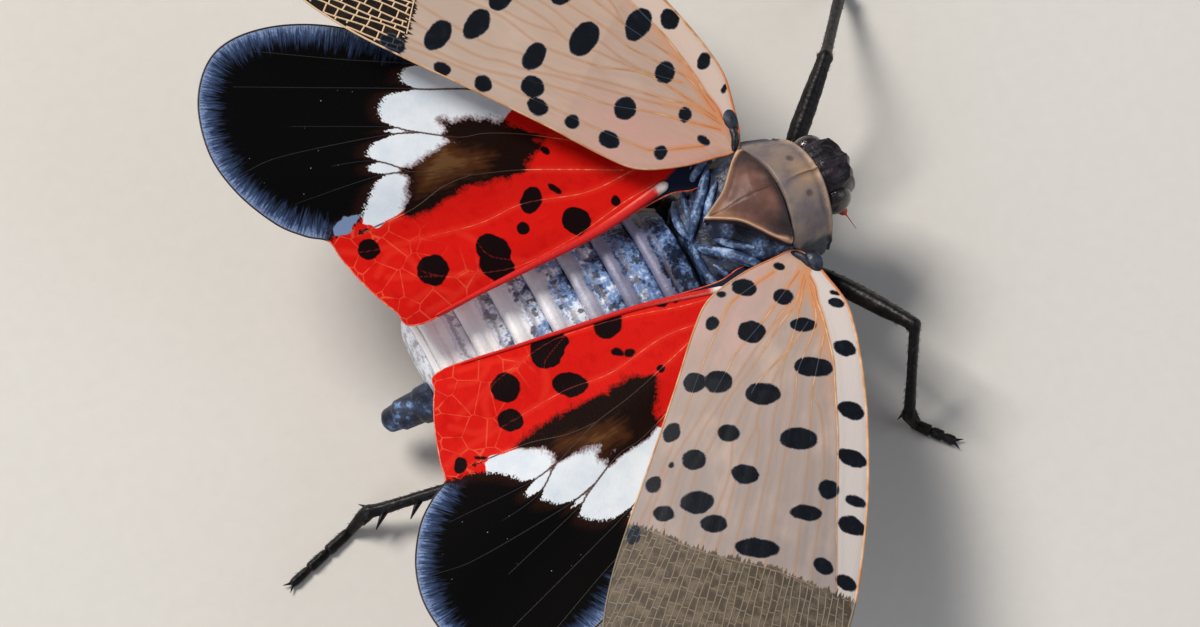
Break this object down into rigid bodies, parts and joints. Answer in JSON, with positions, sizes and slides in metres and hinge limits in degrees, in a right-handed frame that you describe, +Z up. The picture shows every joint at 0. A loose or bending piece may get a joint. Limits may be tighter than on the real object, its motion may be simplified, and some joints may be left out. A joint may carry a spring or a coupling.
{
  "type": "spotted lanternfly",
  "caption": "Life-size still model of a spotted lanternfly standing with its spotted forewings and red, white and black hindwings half open.",
  "frame": {"origin": "on the floor, under the middle of the whole insect's box", "axes": "+X towards the head, +Y to the insect's left, +Z up"},
  "size_m": [0.0312, 0.0386, 0.0119],
  "materials": {
    "head_cuticle": "dark purplish brown, shiny",
    "eye": "black, glassy, finely faceted",
    "feeler": "orange red, granular",
    "leg_cuticle": "black, satin",
    "pronotum_cuticle": "grey brown, wrinkled satin",
    "mesonotum_cuticle": "maroon brown, satin, tan rim",
    "waxy_cuticle": "blue black with pale waxy bloom",
    "abdomen_cuticle": "blue black segments with white waxy bands",
    "forewing_membrane": "greyish tan with blue black spots and a fine net at the tip",
    "hindwing_membrane": "vivid red with black spots, white band and black tip"
  },
  "bodies": {
    "root": {"head": "head_cuticle", "eye_left": "eye", "eye_right": "eye", "antenna_left": "feeler", "antenna_right": "feeler", "beak": "leg_cuticle", "pronotum": "pronotum_cuticle", "mesonotum": "mesonotum_cuticle", "thorax": "waxy_cuticle", "abdomen": "abdomen_cuticle", "tail_tip": "waxy_cuticle", "forewing_left": "forewing_membrane", "forewing_right": "forewing_membrane", "hindwing_left": "hindwing_membrane", "hindwing_right": "hindwing_membrane", "foreleg_left": "leg_cuticle", "foreleg_right": "leg_cuticle", "midleg_left": "leg_cuticle", "midleg_right": "leg_cuticle", "hindleg_left": "leg_cuticle", "hindleg_right": "leg_cuticle"}
  },
  "joints": []
}
